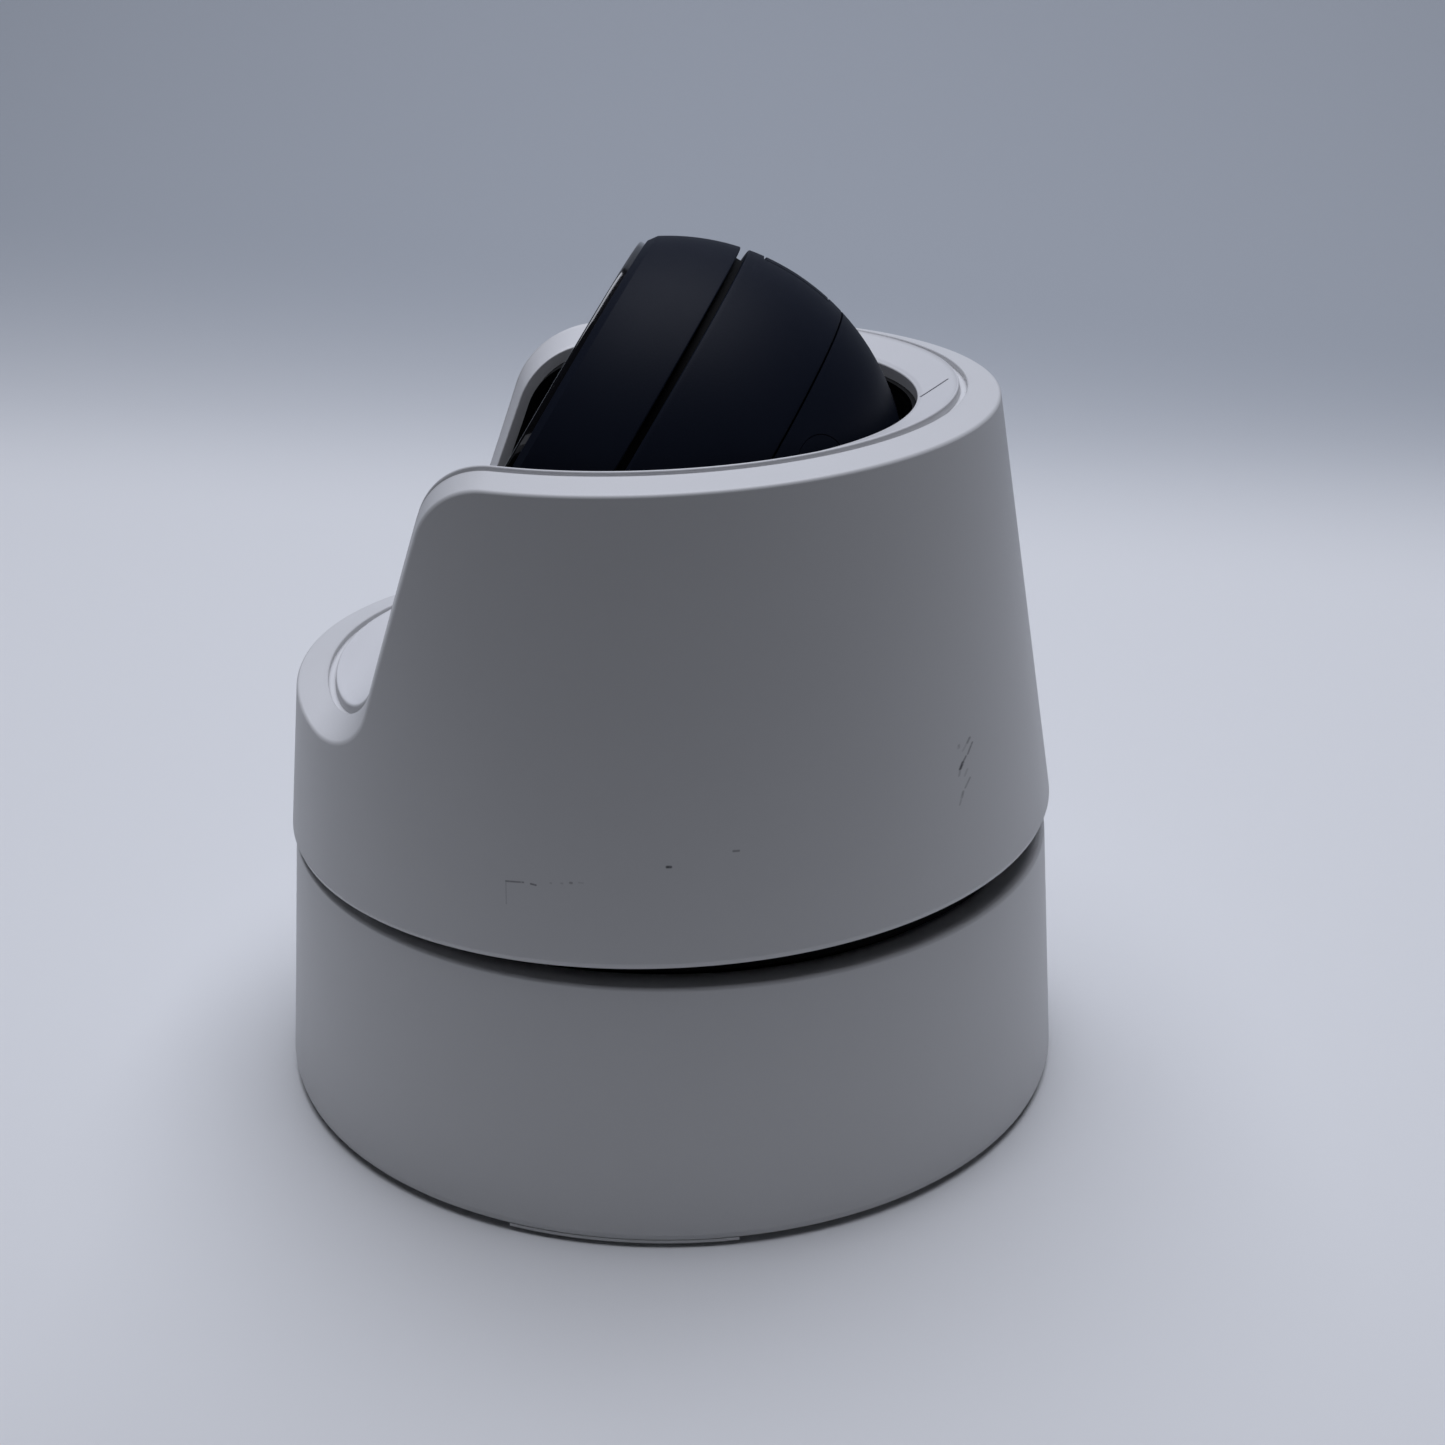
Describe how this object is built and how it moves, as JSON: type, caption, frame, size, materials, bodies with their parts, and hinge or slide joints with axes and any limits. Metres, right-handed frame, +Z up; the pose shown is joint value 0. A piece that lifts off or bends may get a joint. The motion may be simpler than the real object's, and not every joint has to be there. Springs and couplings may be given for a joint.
{
  "type": "security camera",
  "caption": "Compact pan-and-tilt security camera: round white base, saddle-shaped turning turret and a black ball head with the lens.",
  "frame": {"origin": "centre of the bottom of the foot, on the pan axis", "axes": "+Z up along the pan axis, the lens looks towards -Y at rest, the tilt axle runs along X"},
  "size_m": [0.1267, 0.1266, 0.1325],
  "materials": {
    "white_case": "fine satin moulded polycarbonate, white",
    "white_liner": "fine satin moulded polycarbonate, white",
    "black_case": "fine satin moulded polycarbonate, blue-black",
    "black_inner": "dull black moulding",
    "rubber": "dull black rubber",
    "plate_metal": "die-cast aluminium, bead blasted",
    "steel": "bright zinc-plated steel",
    "bearing_steel": "polished bearing steel",
    "board": "green solder mask on glass-fibre board",
    "chips": "moulded chip packages",
    "gold": "gold-plated contacts",
    "gear_plastic": "natural acetal",
    "belt": "black toothed belt",
    "wires": "sleeved wire bundle",
    "smoked_glass": "smoked acrylic, polished",
    "clear_glass": "coated optical glass",
    "clear_plastic": "clear ribbed acrylic",
    "reflector": "metallised reflector",
    "lens_metal": "black anodised aluminium",
    "filter_glass": "tinted filter glass",
    "heat_sink": "extruded aluminium",
    "bronze": "sintered bronze"
  },
  "bodies": {
    "base": {"base_shell": "white_case", "mounting_plate": "plate_metal", "foot_gasket": "rubber", "plate_screws": "steel", "main_board": "board", "board_posts": "steel", "board_screws": "steel", "board_chips": "chips", "network_jack": "steel", "jack_contacts": "gold", "reset_switch": "chips", "pan_motor": "steel", "motor_screws": "steel", "bearing_outer_race": "bearing_steel", "bearing_balls": "bearing_steel"},
    "button": {"reset_button": "black_inner"},
    "pan_drive": {"pan_pinion": "bronze"},
    "turret": {"bearing_inner_race": "bearing_steel", "pan_hub": "lens_metal", "pan_gear": "gear_plastic", "hub_nut": "steel", "turret_tray": "black_inner", "turret_shell": "white_case", "turret_liner": "white_liner", "ball_well": "black_inner", "yoke": "plate_metal", "yoke_screws": "steel", "tilt_bushes": "bronze", "tilt_motor": "steel", "tilt_belt": "belt", "driver_board": "board", "driver_posts": "gear_plastic", "driver_chips": "chips", "wire_bundle": "wires"},
    "tilt_drive": {"tilt_pulley": "steel"},
    "head": {"rear_shell": "black_case", "side_plugs": "black_case", "mid_shell": "black_case", "card_cover": "black_case", "groove_band": "black_inner", "front_ring": "black_case", "face_plate": "smoked_glass", "lens_window": "clear_glass", "light_ring": "clear_plastic", "emitter_board": "board", "emitters": "clear_plastic", "emitter_cups": "reflector", "lens_barrel": "lens_metal", "front_lens": "clear_glass", "filter_frame": "lens_metal", "sensor_board": "board", "image_sensor": "chips", "heat_sink": "heat_sink", "tilt_axles": "steel", "head_pulley": "gear_plastic"},
    "zoom_group": {"zoom_cell": "lens_metal", "zoom_lens": "clear_glass"},
    "focus_group": {"focus_cell": "lens_metal", "focus_lens": "clear_glass"},
    "night_filter": {"cut_filter": "filter_glass"}
  },
  "joints": [
    {"name": "pan", "type": "hinge", "parent": "base", "child": "turret", "pos_m": [0, 0, 0.04], "axis": [0, 0, 1], "range_deg": [-170, 170]},
    {"name": "tilt", "type": "hinge", "parent": "turret", "child": "head", "pos_m": [0, 0, 0.0963], "axis": [-1, 0, 0], "range_deg": [-30.5, 59.5]},
    {"name": "pan_motor_turn", "type": "hinge", "parent": "base", "child": "pan_drive", "pos_m": [0, 0.0336, 0.03], "axis": [0, 0, 1], "range_deg": [-860, 860]},
    {"name": "tilt_motor_turn", "type": "hinge", "parent": "turret", "child": "tilt_drive", "pos_m": [0, 0, 0.057], "axis": [-1, 0, 0], "range_deg": [-62, 120]},
    {"name": "reset_press", "type": "slide", "parent": "base", "child": "button", "axis": [0, 0, 1], "range_m": [0, 0.0008], "stiffness_N_per_m": 400, "springref_m": -0.0005},
    {"name": "zoom", "type": "slide", "parent": "head", "child": "zoom_group", "axis": [0, -0.8616, 0.5075], "range_m": [0, 0.004]},
    {"name": "focus", "type": "slide", "parent": "head", "child": "focus_group", "axis": [0, -0.8616, 0.5075], "range_m": [0, 0.0025]},
    {"name": "filter_slide", "type": "slide", "parent": "head", "child": "night_filter", "axis": [1, 0, 0], "range_m": [0, 0.009]}
  ],
  "couplings": [
    {"joint": "pan_motor_turn", "follows": "pan", "ratio": -5},
    {"joint": "tilt_motor_turn", "follows": "tilt", "ratio": 2}
  ]
}
